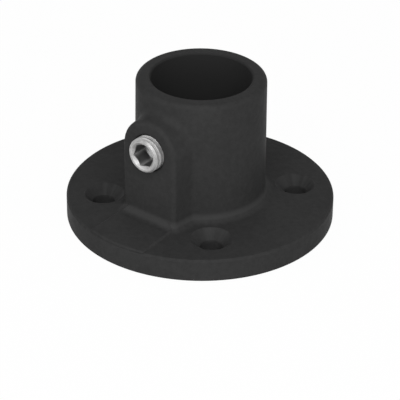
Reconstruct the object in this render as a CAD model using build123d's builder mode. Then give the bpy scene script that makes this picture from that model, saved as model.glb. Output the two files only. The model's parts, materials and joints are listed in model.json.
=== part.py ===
"""Tube clamp base flange for a 26.9 mm tube: a cast flange with a collar, and its set screw.

Frame: the origin is the centre of the flange's underside, +Z is the tube's axis, and the
set screw lies along Y with its socket facing -Y. The four bolt holes are on the diagonals.
All sizes are in millimetres.
"""

import os
from math import hypot, radians, tan

from build123d import *

# --- Tube and collar ---------------------------------------------------------
tube_diameter = 26.9
tube_clearance = 0.3  # radial, between the tube and the bore
collar_wall = 4.0  # at the mouth
overall_height = 42.0
cast_draft = 0.5  # degrees, on the collar's outside
collar_edge_radius = 1.6
bore_chamfer = 0.5

# --- Lip that the tube stands on ----------------------------------------------
lip_width = 2.0
lip_height = 3.0

# --- Flange --------------------------------------------------------------------
flange_diameter = 74.0
flange_thickness = 7.05  # at its middle, where the top is level
rim_thickness = 6.4
level_margin = 0.2  # from the boss's foot out to where the top starts to fall to the rim
flange_top_chamfer = 0.5
base_fillet = 2.4  # where the collar and the boss stand on the flange

# --- Countersunk bolt holes ------------------------------------------------------
bolt_circle_diameter = 53.5
bolt_count = 4
bolt_start_angle = 45.0  # degrees, from +X
bolt_hole_diameter = 6.2
countersink_diameter = 11.3
countersink_angle = 90.0  # degrees, included

# --- Boss for the set screw --------------------------------------------------------
mouth_to_screw = 14.2  # from the collar's mouth down to the set screw's axis
boss_reach = 22.4  # from the tube's axis to the boss's face
boss_width = 17.7  # at its face
boss_draft = 6.0  # degrees, from the face back to the collar
boss_edge_radius = 1.3
boss_fillet = 2.4  # where the boss runs into the collar

# --- Raised strip from the boss's foot to the flange's rim ------------------------------
strip_margin = 0.15  # how much wider than the boss's face on each side, half-way up
strip_height = 0.5  # above the flange
strip_side_angle = 45.0  # degrees, from the flange

# --- Set screw -------------------------------------------------------------------------
screw_diameter = 10.0
screw_clearance = 0.03  # radial, between the screw and its hole
screw_length = 10.0
screw_stand_out = 2.5  # how far the socket end stands out of the boss at rest
socket_end_chamfer = 0.4
point_chamfer = 0.8
hole_mouth_chamfer = 0.4
socket_across_flats = 6.0
socket_depth = 5.0
socket_turn = 14.0  # degrees, how far the hexagon has been turned from level corners
socket_drill_angle = 120.0  # degrees, included, of the cone at the socket's bottom

# --- Worked out from the sizes above -----------------------------------------------------
bore_radius = tube_diameter / 2 + tube_clearance
collar_radius = bore_radius + collar_wall
collar_rise = overall_height - flange_thickness
collar_foot_radius = collar_radius + collar_rise * tan(radians(cast_draft))
flange_radius = flange_diameter / 2
screw_height = overall_height - mouth_to_screw
boss_radius = boss_width / 2
boss_radius_at_collar = boss_radius + (boss_reach - collar_radius) * tan(radians(boss_draft))
boss_blend = min(boss_fillet, mouth_to_screw - boss_radius_at_collar - collar_edge_radius)
boss_corner_distance = hypot(boss_reach - boss_edge_radius, boss_radius - boss_edge_radius)
level_radius = boss_corner_distance + boss_edge_radius + base_fillet + level_margin
strip_start = boss_reach - 2 * boss_edge_radius  # from the tube's axis, inside the boss
strip_fall = (flange_thickness - rim_thickness) / (flange_radius - strip_start)
strip_side_run = strip_height / tan(radians(strip_side_angle))
strip_foot_width = boss_width + 2 * strip_margin + strip_side_run
screw_hole_radius = screw_diameter / 2 + screw_clearance

os.makedirs("parts", exist_ok=True)

# --- The boss by itself ------------------------------------------------------------------
with BuildPart() as boss:
    # An arch round the set screw's axis, on straight sides that run down to the underside,
    # from the tube's axis out to the boss's face, and wider towards its root by the draft.
    with BuildSketch(Plane.XZ):
        with BuildLine():
            right_spring = (boss_radius, screw_height)
            left_spring = (-boss_radius, screw_height)
            Polyline(right_spring, (boss_radius, 0), (-boss_radius, 0), left_spring)
            ThreePointArc(left_spring, (0, screw_height + boss_radius), right_spring)
        make_face()
    extrude(amount=boss_reach)
    sides_and_arch = boss.faces().filter_by(Axis.Y, reverse=True).sort_by(Axis.Z)[1:]
    draft(sides_and_arch, Plane.XZ.offset(boss_reach), boss_draft)

# --- The casting's outside: plate, collar and boss in one piece ------------------------
with BuildPart() as casting_blank:
    # The round plate, level round the collar and falling to its rim, whose top edge is broken.
    with BuildSketch(Plane.XZ) as plate_half:
        with BuildLine():
            Polyline(
                (0, 0),
                (flange_radius, 0),
                (flange_radius, rim_thickness),
                (level_radius, flange_thickness),
                (0, flange_thickness),
                close=True,
            )
        make_face()
        rim_top = plate_half.vertices().group_by(Axis.X)[-1].sort_by(Axis.Y)[-1]
        chamfer(rim_top, flange_top_chamfer)
    revolve(axis=Axis.Z)

    # The collar, a little narrower at its rounded mouth, and the boss.
    with BuildSketch(Plane.XY.offset(flange_thickness)):
        Circle(collar_foot_radius)
    extrude(amount=collar_rise, taper=cast_draft)
    mouth = casting_blank.faces().filter_by(Axis.Z).sort_by(Axis.Z)[-1]
    fillet(mouth.edges(), collar_edge_radius)
    add(boss.part)

    # Cast roundings: the boss's face, then its run into the collar, then the foot of both.
    boss_face = casting_blank.faces().filter_by(Axis.Y).sort_by(Axis.Y)[0]
    fillet(boss_face.edges().sort_by(Axis.Z)[1:], boss_edge_radius)
    cones = casting_blank.faces().filter_by(GeomType.CONE)
    cones_above_plate = cones.filter_by_position(Axis.Z, flange_thickness, overall_height)
    collar_side = cones_above_plate.sort_by(SortBy.AREA)[-1]
    boss_root = collar_side.edges().filter_by(GeomType.LINE, reverse=True)
    boss_root = boss_root.filter_by_position(Axis.Z, flange_thickness, overall_height, (False, False))
    fillet(boss_root, boss_blend)
    plate_top = casting_blank.faces().filter_by(Axis.Z).sort_by(Axis.Z)[1]
    fillet(plate_top.inner_wires()[0].edges(), base_fillet)

# --- The strip: the stretch of the plate and of the boss's foot that is to be raised -----
with BuildPart() as boss_strip:
    add(casting_blank.part)
    with BuildSketch(Plane.XZ.offset(strip_start)):
        with Locations((0, flange_thickness - strip_height)):
            Trapezoid(
                strip_foot_width,
                strip_height + base_fillet + boss_edge_radius,
                strip_side_angle,
                align=(Align.CENTER, Align.MIN),
            )
    extrude(amount=flange_radius, dir=(0, -1, -strip_fall), mode=Mode.INTERSECT)

# --- The casting, with the strip raised and the holes made -----------------------------
with BuildPart() as flange_casting:
    add(casting_blank.part)
    with Locations((0, 0, strip_height)):
        add(boss_strip.part)

    # The bore for the tube, down to the lip, and the way on through the lip.
    with Locations((0, 0, overall_height)):
        Hole(bore_radius - lip_width)
        Hole(bore_radius, depth=overall_height - lip_height)
    mouth = flange_casting.faces().filter_by(Axis.Z).sort_by(Axis.Z)[-1]
    chamfer(mouth.inner_wires()[0].edges(), bore_chamfer)

    # Countersunk bolt holes.
    with Locations((0, 0, flange_thickness)):
        with PolarLocations(bolt_circle_diameter / 2, bolt_count, start_angle=bolt_start_angle):
            CounterSinkHole(
                bolt_hole_diameter / 2, countersink_diameter / 2, counter_sink_angle=countersink_angle
            )

    # The set screw's hole, from the boss's face to the bore.
    with Locations(Plane.XZ.offset(boss_reach) * Location((0, screw_height, 0))):
        Hole(screw_hole_radius, depth=boss_reach)
    boss_face = flange_casting.faces().filter_by(Axis.Y).sort_by(Axis.Y)[0]
    chamfer(boss_face.inner_wires()[0].edges(), hole_mouth_chamfer)

flange_casting.part.label = "flange_casting"
export_step(flange_casting.part, "parts/flange_casting.step")

# --- The set screw: hexagon socket outside, flat point towards the tube -------------------
with BuildPart() as set_screw:
    # The turned blank, as half its outline on one side of the screw's axis, with a chamfer at
    # each end.
    with BuildSketch(Plane.YZ):
        with BuildLine():
            point_end = screw_length - boss_reach - screw_stand_out
            socket_end = -boss_reach - screw_stand_out
            rim_height = screw_height + screw_diameter / 2
            Polyline(
                (socket_end, screw_height),
                (socket_end, rim_height - socket_end_chamfer),
                (socket_end + socket_end_chamfer, rim_height),
                (point_end - point_chamfer, rim_height),
                (point_end, rim_height - point_chamfer),
                (point_end, screw_height),
                close=True,
            )
        make_face()
    revolve(axis=Axis((0, 0, screw_height), (0, 1, 0)))

    # The hexagon socket, and the cone that its drill left at the bottom.
    with BuildSketch(Plane.XZ.offset(-socket_end)):
        with Locations((0, screw_height)):
            RegularPolygon(socket_across_flats / 2, 6, major_radius=False, rotation=socket_turn)
    extrude(amount=-socket_depth, mode=Mode.SUBTRACT)
    socket_floor = Plane.XZ.offset(-socket_end - socket_depth)
    cone_height = socket_across_flats / 2 / tan(radians(socket_drill_angle / 2))
    with Locations(socket_floor * Location((0, screw_height, -cone_height / 2))):
        Cone(0, socket_across_flats / 2, cone_height, mode=Mode.SUBTRACT)

set_screw.part.label = "set_screw"
export_step(set_screw.part, "parts/set_screw.step")
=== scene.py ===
"""Finish of a tube clamp base flange: a black coated casting and its zinc plated set screw.

The frame gives both pieces at their real size, in metres: +Z is the tube's axis, the origin
is the centre of the underside, and the set screw lies along Y with its socket facing -Y.
"""

import json
from math import cos, hypot, pi, radians, sin, sqrt, tan

import bmesh
import bpy
import numpy as np
from mathutils import Matrix, Vector


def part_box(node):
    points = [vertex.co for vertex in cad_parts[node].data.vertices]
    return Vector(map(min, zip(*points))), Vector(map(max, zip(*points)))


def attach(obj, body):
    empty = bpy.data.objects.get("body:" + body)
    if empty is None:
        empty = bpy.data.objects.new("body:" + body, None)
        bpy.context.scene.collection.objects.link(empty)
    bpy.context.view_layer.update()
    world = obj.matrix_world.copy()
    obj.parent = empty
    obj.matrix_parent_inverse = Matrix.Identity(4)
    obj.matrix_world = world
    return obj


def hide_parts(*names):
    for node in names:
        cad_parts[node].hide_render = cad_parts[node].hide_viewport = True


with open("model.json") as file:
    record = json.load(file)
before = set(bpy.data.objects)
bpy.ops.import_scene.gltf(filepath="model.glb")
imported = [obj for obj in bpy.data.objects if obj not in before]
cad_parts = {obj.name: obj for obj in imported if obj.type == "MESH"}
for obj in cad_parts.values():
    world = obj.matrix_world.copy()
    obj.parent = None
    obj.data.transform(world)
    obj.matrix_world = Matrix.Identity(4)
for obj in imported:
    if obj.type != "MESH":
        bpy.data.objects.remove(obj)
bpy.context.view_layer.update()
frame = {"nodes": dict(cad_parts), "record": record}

MM = 0.001

# --- Casting: sizes in millimetres -----------------------------------------------------------
MOUNTS = {mount["name"]: mount for mount in frame["record"]["mounts"]}
TUBE_SOCKET = MOUNTS["tube_socket"]
BORE_RADIUS = TUBE_SOCKET["dims"]["r_mm"]
LIP_HEIGHT = TUBE_SOCKET["pos_m"][2] / MM - TUBE_SOCKET["dims"]["length_mm"]
BOLT_CIRCLE = MOUNTS["floor_bolts"]["dims"]["pcd_mm"]
COUNTERSINK = 11.3
COUNTERSINK_FOOT = 4.0  # the countersinks stay above this height
# The foot fillet's band, which gets a painted highlight, lies between these two heights.
FILLET_LOW = 7.6  # the fillet at the foot of the collar and the boss: from this height
FILLET_HIGH = 9.4  # to this one
RIM_BREAK = 0.4  # rounding of the plate's lower edge
EDGE_BREAK = 0.1  # rounding of every other sharp edge
EDGE_ANGLE = 28.0  # degrees: an edge that turns by more is sharp
FLAT_ANGLE = 0.5  # degrees: triangles that turn by less are one face

# --- Set screw: sizes in millimetres ---------------------------------------------------------
THREAD_PITCH = 1.5
THREAD_DEPTH = 0.92
THREAD_CREST = 0.38  # width of the flat along a crest
THREAD_PLAY = 0.12  # how far the crests lie under the nominal radius
THREAD_START = 0.35  # from the socket end
THREAD_RUN_IN = 0.6  # from there to the full depth
THREAD_TURN = 130.0  # degrees, where a crest meets the socket end
THREAD_FLANK = 60.0  # degrees, between two flanks
SOCKET_FLATS = 6.0
SOCKET_DEPTH = 5.0
SOCKET_TURN = 14.0  # degrees
MOUTH_RADIUS = 3.85  # where the countersunk mouth of the socket starts
MOUTH_ANGLE = 98.0  # degrees
DRILL_INSET = 0.05  # how far the drilled cone at the socket's bottom lies inside its flats
DRILL_ANGLE = 120.0  # degrees
END_CHAMFER = 0.5
POINT_CHAMFER = 0.8
CUP_RADIUS = 2.75
CUP_DEPTH = 1.2
SCREW_FACETS = 144  # round the axis
RINGS_PER_MM = 16  # along the thread
CRISP_ANGLE = 32.0  # degrees: an edge that turns by more is shaded as a sharp one

# --- Black coated iron: linear greys, and the noises' sizes and depths in millimetres --------
COAT_DARKEST = 0.0268
COAT_LIGHTEST = 0.0342
COAT_FILLET_HIGHLIGHT = 0.041  # painted highlight on the foot fillet, where the light falls from above and the front
COAT_CONE_HIGHLIGHT = 0.039  # painted highlight: the lightest streaks in a countersink, for its lit side
# painted shade inside the bore, deep in the collar
COAT_BORE_SHADE = 0.023
COAT_ROUGHNESS = 0.5
COAT_GLOSS = 0.015  # specular level: the coat hardly mirrors
SKIN_SIZE = 2.6
SKIN_DEPTH = 0.12
GRAIN_SIZE = 0.55
GRAIN_DEPTH = 0.03
PATCH_SIZE = 1.5
DRIFT_SIZE = 11.0
HIGHLIGHT_STREAK_SIZE = 0.4

# --- Zinc plated steel: linear greys, and the noises' sizes and depths in millimetres --------
ZINC_DARKEST = 0.26
ZINC_LIGHTEST = 0.46
# painted shade in the hexagon socket
ZINC_SOCKET_SHADE = 0.2
ZINC_METALLIC = 0.4  # and 1 in the socket
ZINC_ROUGHNESS = 0.4
TURNING_SIZE = 0.22
TURNING_DEPTH = 0.05
CLOUD_SIZE = 1.1
CLOUD_DEPTH = 0.03

# --- View and light: degrees and metres ------------------------------------------------------
VIEW_AZIMUTH = 38.2
VIEW_ELEVATION = 30.44
VIEW_ROLL = 0.67
VIEW_DISTANCE = 0.572
VIEW_HEIGHT = 0.0032  # of the point on the tube's axis that the camera aims at
LENS = 185.0  # millimetres
EVEN_LIGHT = 0.19  # from all round
FLOOR_SIZE = 6.0
FLOOR_DROP = 0.00002  # below the underside
FLOOR_WHITE = 0.97  # share of plain white in what is seen of the floor
LAMP_DISTANCE = 0.9
SOFT_BOXES = (  # name, turn from the view, elevation, width, height, watts
    ("left_box", -50, 18, 1.1, 0.5, 3.3),
    ("right_box", 50, 18, 1.1, 0.5, 2.6),
    ("high_box", 0, 46, 0.8, 0.6, 6.1),
    ("back_box", 180, 60, 0.9, 0.6, 0.5),
)


# --- Shader maths ----------------------------------------------------------------------------
class Wire:
    """One output of a node. Where it is a number, the usual operators add Math nodes to it."""

    def __init__(self, nodes, socket):
        self.nodes = nodes
        self.socket = socket

    def math(self, operation, *others):
        values = dict(enumerate((self, *others)))
        return self.nodes.add("ShaderNodeMath", {"operation": operation}, values)["Value"]

    def __add__(self, other):
        return self.math("ADD", other)

    def __sub__(self, other):
        return self.math("SUBTRACT", other)

    def __mul__(self, other):
        return self.math("MULTIPLY", other)

    def __truediv__(self, other):
        return self.math("DIVIDE", other)

    def __pow__(self, other):
        return self.math("POWER", other)

    def __rsub__(self, other):
        return self * -1.0 + other

    def __abs__(self):
        return self.math("ABSOLUTE")

    __radd__ = __add__
    __rmul__ = __mul__

    def between(self, low, high):
        """0 below low, 1 above high, and a smooth rise from one to the other."""
        settings = {"interpolation_type": "SMOOTHSTEP"}
        values = {"Value": self, "From Min": low, "From Max": high}
        return self.nodes.add("ShaderNodeMapRange", settings, values)["Result"]


class Nodes:
    """An emptied node tree, and the one method that adds any node to it."""

    def __init__(self, tree):
        self.tree = tree
        self.tree.nodes.clear()

    def add(self, kind, settings=None, sockets=None):
        """A node of that kind: its settings first, then its sockets' values or links. Gives its
        outputs by name."""
        node = self.tree.nodes.new(kind)
        for name, value in (settings or {}).items():
            setattr(node, name, value)
        for name, value in (sockets or {}).items():
            if isinstance(value, Wire):
                self.tree.links.new(value.socket, node.inputs[name])
            else:
                node.inputs[name].default_value = value
        return {s.name: Wire(self, s) for s in node.outputs if s.enabled}


class Finish(Nodes):
    """A material being built, with shorthands for the nodes that the finishes share."""

    def __init__(self, name):
        self.material = bpy.data.materials.new(name)
        self.material.use_nodes = True
        super().__init__(self.material.node_tree)

    def place(self):
        """The surface point in the object's own frame, in metres, and its x, y and z."""
        point = self.add("ShaderNodeTexCoord")["Object"]
        split = self.add("ShaderNodeSeparateXYZ", None, {"Vector": point})
        return point, split["X"], split["Y"], split["Z"]

    def noise(self, point, size_mm, detail=2.0, roughness=0.5):
        """Cloudy noise about 0.5, with lumps of about size_mm."""
        scale = 1.0 / (size_mm * MM)
        values = {"Vector": point, "Scale": scale, "Detail": detail, "Roughness": roughness}
        return self.add("ShaderNodeTexNoise", None, values)["Fac"]

    def blend(self, share, first, second):
        """The first colour where share is 0 and the second where it is 1."""
        settings = {"data_type": "RGBA"}
        values = {"Factor": share, 6: first, 7: second}  # 6 and 7: the colour inputs
        return self.add("ShaderNodeMix", settings, values)["Result"]

    def bump(self, height):
        """A normal from a height in metres."""
        values = {"Height": height, "Distance": 1.0, "Strength": 1.0}
        return self.add("ShaderNodeBump", None, values)["Normal"]

    def surface(self, **sockets):
        """The finished surface, from the sockets of the Principled shader."""
        values = {name.replace("_", " "): value for name, value in sockets.items()}
        shader = self.add("ShaderNodeBsdfPrincipled", None, values)["BSDF"]
        self.add("ShaderNodeOutputMaterial", None, {"Surface": shader})
        return self.material


def grey(level, warm=0.0):
    """A linear colour close to grey."""
    return (level * (1 + warm), level, level * (1 - warm), 1.0)


# --- Materials -------------------------------------------------------------------------------
def black_coated_iron():
    """Cast iron under a thin satin black coat: a sand cast skin, with a painted highlight on the
    fillet at the foot of the collar and the boss. The machined bore and countersinks are smoother;
    painted shade darkens the bore, and streaks of painted highlight lighten the countersinks."""
    coat = Finish("black_coated_iron")
    point, x, y, z = coat.place()

    # Masks, 1 inside and 0 outside with a soft edge: the bore, the cones, and the band on the foot
    # fillet that gets a painted highlight.
    radius = (x * x + y * y) ** 0.5
    in_bore = 1 - radius.between((BORE_RADIUS + 0.05) * MM, (BORE_RADIUS + 0.6) * MM)
    in_bore = in_bore * z.between(LIP_HEIGHT * MM, (LIP_HEIGHT + 0.4) * MM)
    hole = BOLT_CIRCLE / 2 / sqrt(2) * MM
    hole_x = abs(x) - hole
    hole_y = abs(y) - hole
    from_hole = (hole_x * hole_x + hole_y * hole_y) ** 0.5
    in_cone = 1 - from_hole.between((COUNTERSINK / 2 - 0.1) * MM, (COUNTERSINK / 2 + 0.1) * MM)
    in_cone = in_cone * z.between((COUNTERSINK_FOOT - 0.4) * MM, (COUNTERSINK_FOOT + 0.4) * MM)
    machined = in_bore.math("MAXIMUM", in_cone)
    fillet_highlight_band = z.between(FILLET_LOW * MM, (FILLET_LOW + 0.6) * MM)
    fillet_highlight_band = fillet_highlight_band * (1 - z.between((FILLET_HIGH - 0.6) * MM, (FILLET_HIGH + 0.6) * MM))

    # Streaks of painted highlight down each cone, for its lit side: noise on a small circle round
    # the hole, apart for every hole.
    bearing = {
        "X": hole_x / from_hole * MM,
        "Y": hole_y / from_hole * MM,
        "Z": x.math("SIGN") * (3 * MM) + y.math("SIGN") * (7 * MM),
    }
    round_hole = coat.add("ShaderNodeCombineXYZ", None, bearing)["Vector"]
    highlight_streaks = coat.noise(round_hole, HIGHLIGHT_STREAK_SIZE)

    # Cast skin: waves and grain in its height; drift, patches and grain in its tone.
    skin = coat.noise(point, SKIN_SIZE)
    grain = coat.noise(point, GRAIN_SIZE, detail=3.0, roughness=0.6)
    patch = coat.noise(point, PATCH_SIZE)
    drift = coat.noise(point, DRIFT_SIZE, detail=1.0)
    height = skin * (SKIN_DEPTH * MM) + grain * (GRAIN_DEPTH * MM)
    height = height * (1 - machined * 0.8)
    tone = (drift - 0.5) * 0.5 + (patch - 0.5) * 0.9 + (grain - 0.5) * 0.5 + 0.5

    colour = coat.blend(tone.between(0.1, 0.9), grey(COAT_DARKEST), grey(COAT_LIGHTEST))
    # Painted highlight on the foot fillet, where light from above and the front falls.
    colour = coat.blend(fillet_highlight_band * 0.8, colour, grey(COAT_FILLET_HIGHLIGHT))
    # Painted highlight streaks in the countersinks.
    colour = coat.blend(in_cone * highlight_streaks.between(0.35, 0.75), colour, grey(COAT_CONE_HIGHLIGHT))
    # Painted shade inside the bore, where little light reaches.
    colour = coat.blend(in_bore, colour, grey(COAT_BORE_SHADE))
    return coat.surface(
        Base_Color=colour,
        Roughness=(grain - 0.5) * 0.25 + COAT_ROUGHNESS,
        Specular_IOR_Level=COAT_GLOSS,
        Normal=coat.bump(height),
    )


def zinc_plated_steel(low, high):
    """Zinc on a turned steel screw, from the low and high corners of its box: faint rings from
    the turning tool, and a more metallic socket darkened with painted shade."""
    zinc = Finish("zinc_plated_steel")
    point, x, y, z = zinc.place()
    length = high.y - low.y
    up = z - (low.z + high.z) / 2
    radius = (x * x + up * up) ** 0.5
    depth = y - low.y

    # Mask of the socket: within its hexagon, from below the mouth, and short of the cup point.
    in_socket = 1 - radius.between(SOCKET_FLATS / 2 * MM, (SOCKET_FLATS / sqrt(3) + 0.1) * MM)
    in_socket = in_socket * depth.between(0.15 * MM, 0.9 * MM)
    in_socket = in_socket * (1 - depth.between(0.8 * length, 0.9 * length))

    # Tool marks: noise that changes with the radius, drawn out along the axis.
    ring = zinc.add("ShaderNodeCombineXYZ", None, {"X": radius, "Y": y * 0.2})["Vector"]
    turning = zinc.noise(ring, TURNING_SIZE, roughness=0.7)
    cloud = zinc.noise(point, CLOUD_SIZE, detail=3.0, roughness=0.6)
    height = turning * (TURNING_DEPTH * MM) + cloud * (CLOUD_DEPTH * MM)
    tone = (cloud - 0.5) * 0.8 + (turning - 0.5) * 0.9 + 0.5
    plated = zinc.blend(tone.between(0.1, 0.9), grey(ZINC_DARKEST), grey(ZINC_LIGHTEST, 0.01))
    # Painted shade in the socket, where little light reaches.
    colour = zinc.blend(in_socket, plated, grey(ZINC_SOCKET_SHADE))
    return zinc.surface(
        Base_Color=colour,
        Metallic=in_socket * (1 - ZINC_METALLIC) + ZINC_METALLIC,
        Roughness=(cloud - 0.5) * 0.3 + ZINC_ROUGHNESS,
        Normal=zinc.bump(height),
    )


# --- Pieces ----------------------------------------------------------------------------------
def in_scene(name, data):
    """A new object in the scene, at the origin."""
    thing = bpy.data.objects.new(name, data)
    bpy.context.scene.collection.objects.link(thing)
    return thing


# --- The casting -----------------------------------------------------------------------------
def round_lower_rim(shape, rim_radius):
    """Round the edge between the plate's side and its underside."""
    near = 0.01 * MM
    on_rim = {v for v in shape.verts if v.co.z < near and hypot(v.co.x, v.co.y) > rim_radius - near}
    bmesh.ops.bevel(
        shape,
        geom=[e for e in shape.edges if on_rim.issuperset(e.verts)],
        offset=RIM_BREAK * MM,
        segments=4,
        profile=0.5,
        affect="EDGES",
    )


def casting(finish):
    """The casting as drawn: its triangles are merged into faces, the plate's lower edge is
    rounded, and every other sharp edge is slightly broken."""
    source = frame["nodes"]["flange_casting"]
    shape = bmesh.new()
    shape.from_mesh(source.data)
    bmesh.ops.remove_doubles(shape, verts=shape.verts, dist=0.001 * MM)
    flat = radians(FLAT_ANGLE)
    bmesh.ops.dissolve_limit(shape, angle_limit=flat, verts=shape.verts, edges=shape.edges)
    round_lower_rim(shape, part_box("flange_casting")[1].x)
    mesh = bpy.data.meshes.new("coated_casting")
    shape.to_mesh(mesh)
    shape.free()
    mesh.polygons.foreach_set("use_smooth", np.ones(len(mesh.polygons), bool))
    mesh.materials.append(finish)
    piece = in_scene("coated_casting", mesh)

    bevel = piece.modifiers.new("broken_edges", "BEVEL")
    bevel.limit_method = "ANGLE"
    bevel.angle_limit = radians(EDGE_ANGLE)
    bevel.width = EDGE_BREAK * MM
    bevel.segments = 2
    bevel.use_clamp_overlap = False
    bevel.miter_outer = "MITER_ARC"
    normals = piece.modifiers.new("flat_faces_stay_flat", "WEIGHTED_NORMAL")
    normals.keep_sharp = False
    return piece


# --- The set screw ---------------------------------------------------------------------------
def ring_surface(name, rings, finish, around):
    """A closed surface of rings round the set screw's axis, with a point at each end.

    Each ring is a pair of arrays over the angle: its radius, and its place along the axis.
    The first and last rings are single points. Neighbouring rings are joined by quads.
    """
    angle = np.arange(around) * 2 * pi / around
    inner = rings[1:-1]
    radius = np.array([np.broadcast_to(r, around) for r, _ in inner])
    along = np.array([np.broadcast_to(a, around) for _, a in inner])
    grid = np.stack([radius * np.cos(angle), along, radius * np.sin(angle)], axis=-1)
    ends = np.array([[0, rings[0][1], 0], [0, rings[-1][1], 0]])
    points = np.concatenate([grid.reshape(-1, 3), ends])

    count = len(inner)
    index = np.arange(count * around).reshape(count, around)
    after = np.roll(index, -1, axis=1)
    quads = np.stack([index[:-1], index[1:], after[1:], after[:-1]], axis=-1).reshape(-1, 4)
    first, last = count * around, count * around + 1
    fan_in = np.stack([np.full(around, first), index[0], after[0]], axis=-1)
    fan_out = np.stack([np.full(around, last), after[-1], index[-1]], axis=-1)

    mesh = bpy.data.meshes.new(name)
    mesh.from_pydata(points.tolist(), [], quads.tolist() + fan_in.tolist() + fan_out.tolist())
    mesh.materials.append(finish)
    mesh.polygons.foreach_set("use_smooth", np.ones(len(mesh.polygons), bool))
    return mesh


def hexagon(angle, flats, turn):
    """Radius of a hexagon at each angle: half its flats over the cosine of the angle that is
    left to the middle of the nearest flat. Its corners lie at turn plus multiples of 60."""
    from_corner = np.mod(angle - turn, pi / 3)
    return flats / 2 / np.cos(from_corner - pi / 6)


def thread_radius(angle, along, outer):
    """Radius of the right-hand thread: a wave along the axis that moves on by one pitch each
    turn, with straight flanks between a flat on its crests and one at its roots. Its depth
    runs in behind the socket end."""
    turns = along / THREAD_PITCH + (angle - radians(THREAD_TURN)) / (2 * pi)
    from_crest = (0.5 - np.abs(np.mod(turns, 1.0) - 0.5)) * THREAD_PITCH
    flank = (from_crest - THREAD_CREST / 2) / tan(radians(THREAD_FLANK / 2))
    run_in = min(max((along - THREAD_START) / THREAD_RUN_IN, 0), 1)
    return outer - np.clip(flank, 0, THREAD_DEPTH) * run_in


def set_screw(finish):
    """The set screw, as rings along one profile: from the drilled bottom of its hexagon socket
    up the walls, over the mouth and the end face, along the thread, and round the cup point."""
    low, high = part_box("set_screw")
    outer = (high.x - low.x) / 2 / MM - THREAD_PLAY
    length = (high.y - low.y) / MM
    angle = np.arange(SCREW_FACETS) * 2 * pi / SCREW_FACETS
    hexagonal = hexagon(angle, SOCKET_FLATS, radians(SOCKET_TURN))
    drill = SOCKET_FLATS / 2 - DRILL_INSET
    cone = drill / tan(radians(DRILL_ANGLE / 2))

    # Socket: from the drill's point out to the walls, up them, and over the coned mouth. Here
    # and below, a ring close to each edge keeps the shading on both sides of it flat.
    rings = [(0, SOCKET_DEPTH + cone)]
    rings += [(drill * s, SOCKET_DEPTH + cone * (1 - s)) for s in (0.25, 0.5, 0.75, 0.97, 1.0)]
    rings += [(drill + (hexagonal - drill) * s, SOCKET_DEPTH) for s in (0.1, 0.9, 1.0)]
    wall_top = (MOUTH_RADIUS - hexagonal) / tan(radians(MOUTH_ANGLE / 2))
    rings += [(hexagonal, SOCKET_DEPTH + (wall_top - SOCKET_DEPTH) * s) for s in (0.03, 0.97, 1.0)]
    to_rim = MOUTH_RADIUS - hexagonal
    rings += [(hexagonal + to_rim * s, wall_top * (1 - s)) for s in (0.04, 0.35, 0.7, 0.96, 1.0)]

    # Rim of the end, then the thread, cut through the chamfers of both ends.
    rim = outer - END_CHAMFER
    rings += [(MOUTH_RADIUS + (rim - MOUTH_RADIUS) * s, 0.0) for s in (0.05, 0.95, 1.0)]
    for along in np.linspace(0, length, int(length * RINGS_PER_MM) + 1)[1:-1]:
        threaded = thread_radius(angle, along, outer)
        chamfer = min(rim + along, outer - POINT_CHAMFER + (length - along))
        rings.append((np.minimum(threaded, chamfer), along))

    # Cup point.
    point = outer - POINT_CHAMFER
    rings += [(point, length), (CUP_RADIUS + 0.05, length), (CUP_RADIUS, length)]
    rings += [(CUP_RADIUS * s, length - CUP_DEPTH * (1 - s)) for s in (0.9, 0.5, 0.1)]
    rings += [(0, length - CUP_DEPTH)]

    mesh = ring_surface("plated_set_screw", rings, finish, SCREW_FACETS)
    centre = Vector(((low.x + high.x) / 2, low.y, (low.z + high.z) / 2))
    mesh.transform(Matrix.Translation(centre) @ Matrix.Scale(MM, 4))
    mesh.set_sharp_from_angle(angle=radians(CRISP_ANGLE))
    piece = in_scene("plated_set_screw", mesh)
    normals = piece.modifiers.new("crisp_edges", "WEIGHTED_NORMAL")
    normals.keep_sharp = True
    return piece


# --- Stage, light and camera -----------------------------------------------------------------
def seen_or_mirrored(nodes):
    """1 for what the camera sees, straight, in a mirror or through glass, and 0 for light."""
    path = nodes.add("ShaderNodeLightPath")
    straight = path["Is Camera Ray"].math("MAXIMUM", path["Is Glossy Ray"])
    return straight.math("MAXIMUM", path["Is Transmission Ray"])


def floor():
    """A pale floor that keeps the shadow and is close to white where nothing shades it."""
    pale = Finish("pale_floor")
    matt = pale.add("ShaderNodeBsdfDiffuse", None, {"Color": grey(0.9)})["BSDF"]
    white = pale.add("ShaderNodeEmission", None, {"Color": grey(1.0), "Strength": 1.0})["Emission"]
    values = {"Fac": seen_or_mirrored(pale) * FLOOR_WHITE, 1: matt, 2: white}
    mixed = pale.add("ShaderNodeMixShader", None, values)["Shader"]
    pale.add("ShaderNodeOutputMaterial", None, {"Surface": mixed})

    mesh = bpy.data.meshes.new("floor")
    half = FLOOR_SIZE / 2
    corners = [(-half, -half, 0), (half, -half, 0), (half, half, 0), (-half, half, 0)]
    mesh.from_pydata(corners, [], [(0, 1, 2, 3)])
    mesh.materials.append(pale.material)
    plane = in_scene("floor", mesh)
    plane.location.z = -FLOOR_DROP


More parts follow.
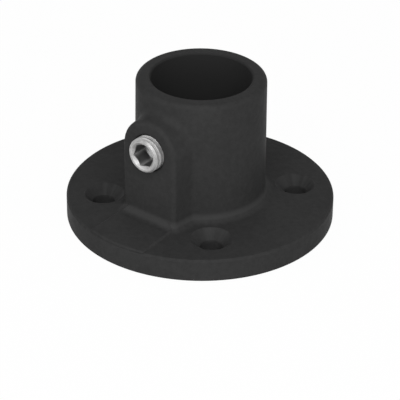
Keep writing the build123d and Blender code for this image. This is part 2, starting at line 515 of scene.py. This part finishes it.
def surroundings(level):
    """Even light from all round, behind a backdrop that looks white."""
    world = bpy.data.worlds.new("surroundings")
    bpy.context.scene.world = world
    world.use_nodes = True
    room = Nodes(world.node_tree)
    soft = room.add("ShaderNodeBackground", None, {"Color": grey(1.0), "Strength": level})
    white = room.add("ShaderNodeBackground", None, {"Color": grey(1.0), "Strength": 1.0})
    values = {"Fac": seen_or_mirrored(room), 1: soft["Background"], 2: white["Background"]}
    mixed = room.add("ShaderNodeMixShader", None, values)["Shader"]
    room.add("ShaderNodeOutputWorld", None, {"Surface": mixed})


def direction(azimuth, elevation):
    """Unit vector from the object: azimuth 0 is -Y and 90 is +X, elevation is above the floor."""
    a, e = radians(azimuth), radians(elevation)
    return Vector((sin(a) * cos(e), -cos(a) * cos(e), sin(e)))


def soft_box(name, azimuth, elevation, width, height, watts, target):
    """A rectangular soft light that faces the target."""
    lamp = bpy.data.lights.new(name, "AREA")
    lamp.shape = "RECTANGLE"
    lamp.size = width
    lamp.size_y = height
    lamp.energy = watts
    box = in_scene(name, lamp)
    back = direction(azimuth, elevation)
    box.location = target + back * LAMP_DISTANCE
    box.rotation_euler = back.to_track_quat("Z", "Y").to_euler()


def camera():
    """A long lens on a point of the tube's axis, with a slight roll."""
    data = bpy.data.cameras.new("camera")
    data.sensor_width = 36.0
    data.lens = LENS
    eye = in_scene("camera", data)
    back = direction(VIEW_AZIMUTH, VIEW_ELEVATION)
    roll = Matrix.Rotation(radians(VIEW_ROLL), 3, "Z")
    eye.rotation_euler = (back.to_track_quat("Z", "Y").to_matrix() @ roll).to_euler()
    eye.location = Vector((0, 0, VIEW_HEIGHT)) + back * VIEW_DISTANCE
    bpy.context.scene.camera = eye


def main():
    """The view and the light, then the two pieces in place of the drawn ones."""
    bpy.context.scene.view_settings.view_transform = "Standard"
    low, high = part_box("flange_casting")
    middle = Vector((0, 0, (low.z + high.z) / 2))

    camera()
    surroundings(EVEN_LIGHT)
    floor()
    for name, turn, elevation, width, height, watts in SOFT_BOXES:
        soft_box(name, VIEW_AZIMUTH + turn, elevation, width, height, watts, middle)

    body = casting(black_coated_iron())
    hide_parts("flange_casting")
    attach(body, "flange")

    screw = set_screw(zinc_plated_steel(*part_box("set_screw")))
    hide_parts("set_screw")
    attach(screw, "clamp_screw")


main()
